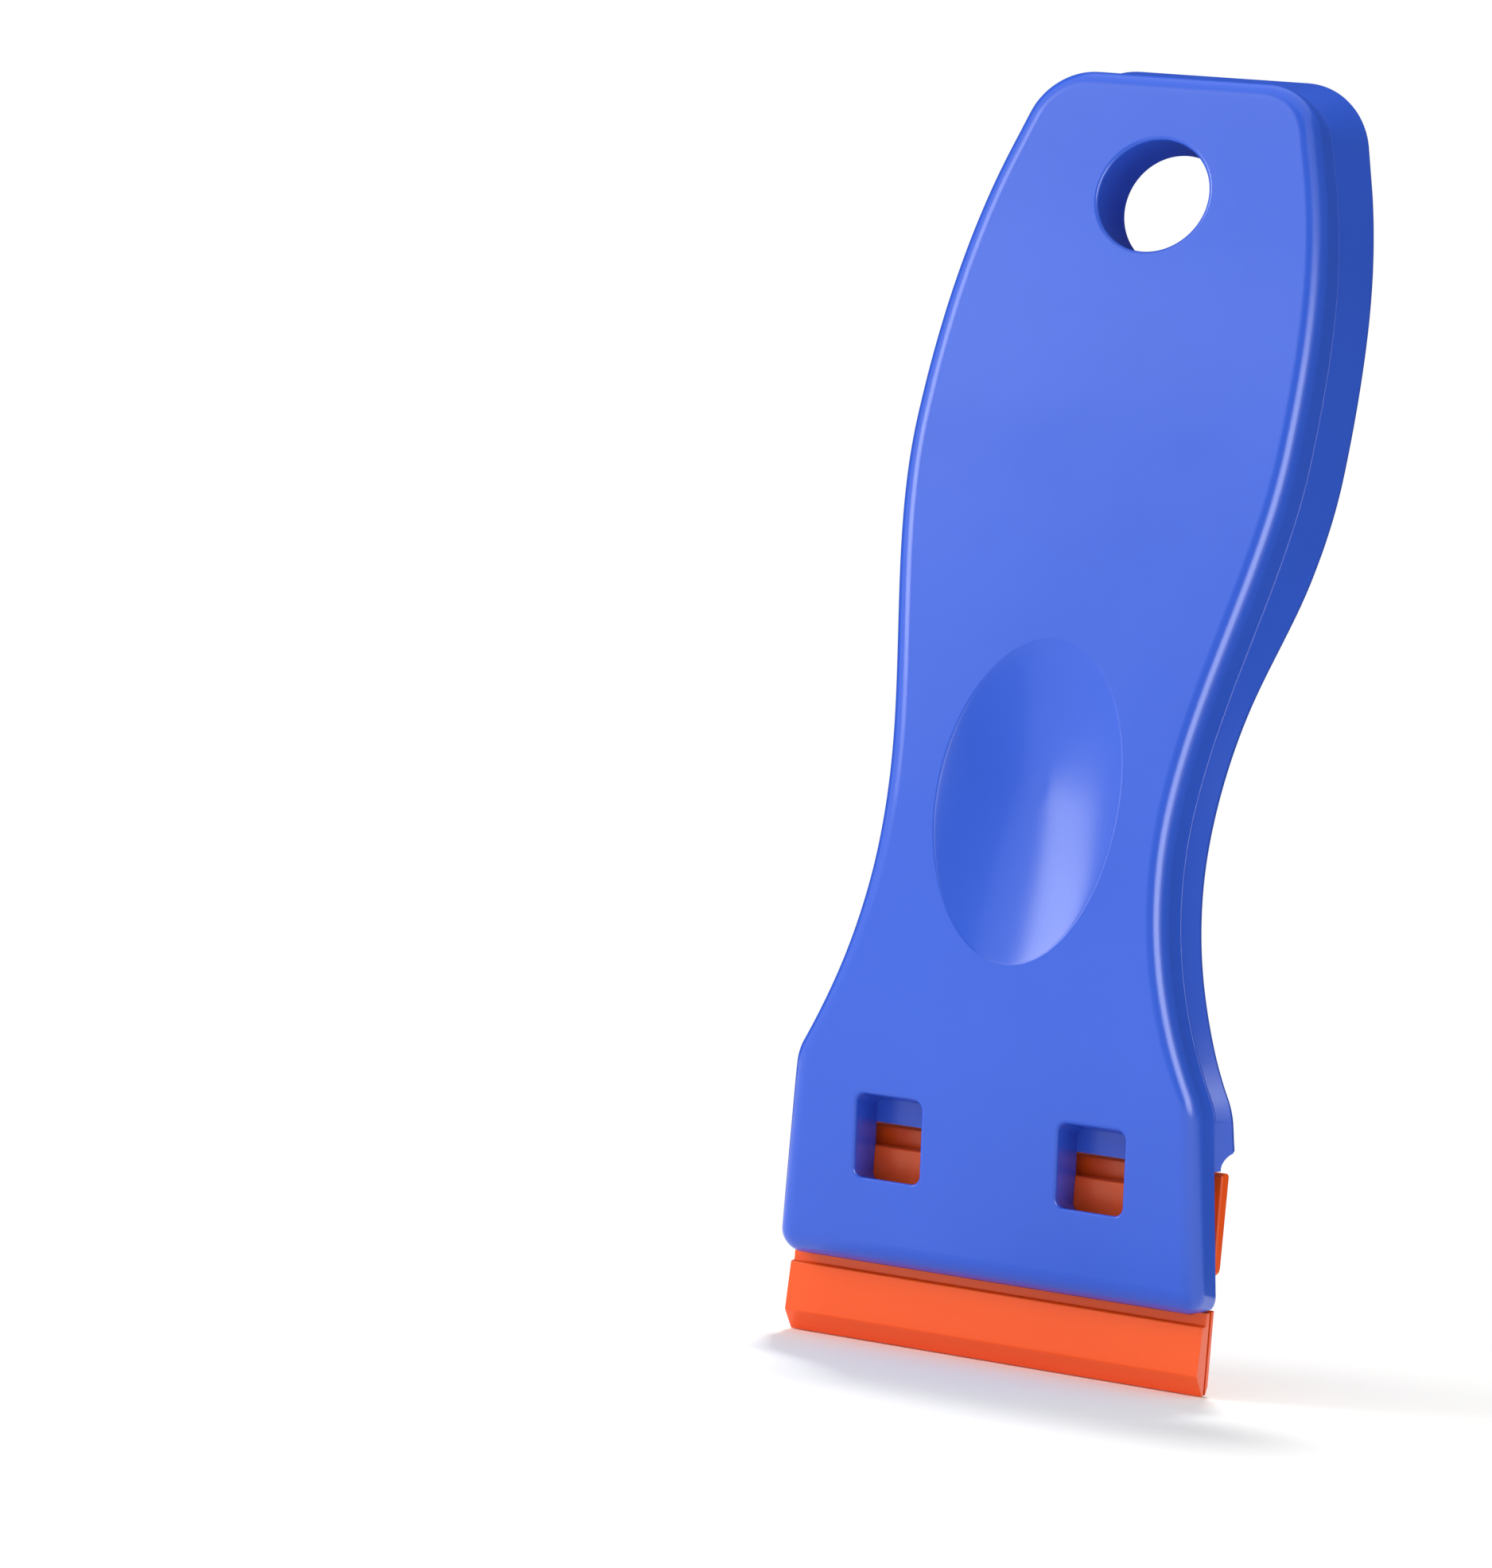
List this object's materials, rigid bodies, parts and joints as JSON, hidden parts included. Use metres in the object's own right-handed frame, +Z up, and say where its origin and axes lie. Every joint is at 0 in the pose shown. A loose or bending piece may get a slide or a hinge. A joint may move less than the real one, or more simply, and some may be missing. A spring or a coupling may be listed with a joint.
{
  "type": "razor blade scraper",
  "caption": "Hand scraper with an arched, waisted handle, a thumb dish, a hanging hole and a wide flat head whose folding clip holds a double-edged plastic blade.",
  "frame": {"origin": "centre of the hanging hole, halfway through its wall", "axes": "+Z up the tool from the blade clip to the hanging hole, +Y backwards along the hanging hole, the front with the thumb dish facing -Y, +X to the right seen from the front"},
  "size_m": [0.0472, 0.0232, 0.1359],
  "materials": {
    "handle_plastic": "satin, moulded, blue",
    "clip_plastic": "satin, moulded, orange"
  },
  "bodies": {
    "handle": {"front_shell": "handle_plastic", "back_shell": "handle_plastic", "clip_front_leaf": "clip_plastic"},
    "rear_leaf": {"clip_rear_leaf": "clip_plastic"},
    "lever": {"locking_lever": "clip_plastic"}
  },
  "joints": [
    {"name": "rear_leaf_fold", "type": "hinge", "parent": "handle", "child": "rear_leaf", "pos_m": [0, 0.00184, -0.101], "axis": [1, 0, 0], "range_deg": [0, 4]},
    {"name": "lever_hinge", "type": "hinge", "parent": "rear_leaf", "child": "lever", "pos_m": [0, 0.00445, -0.10689], "axis": [-1, 0, 0], "range_deg": [0, 95]}
  ]
}
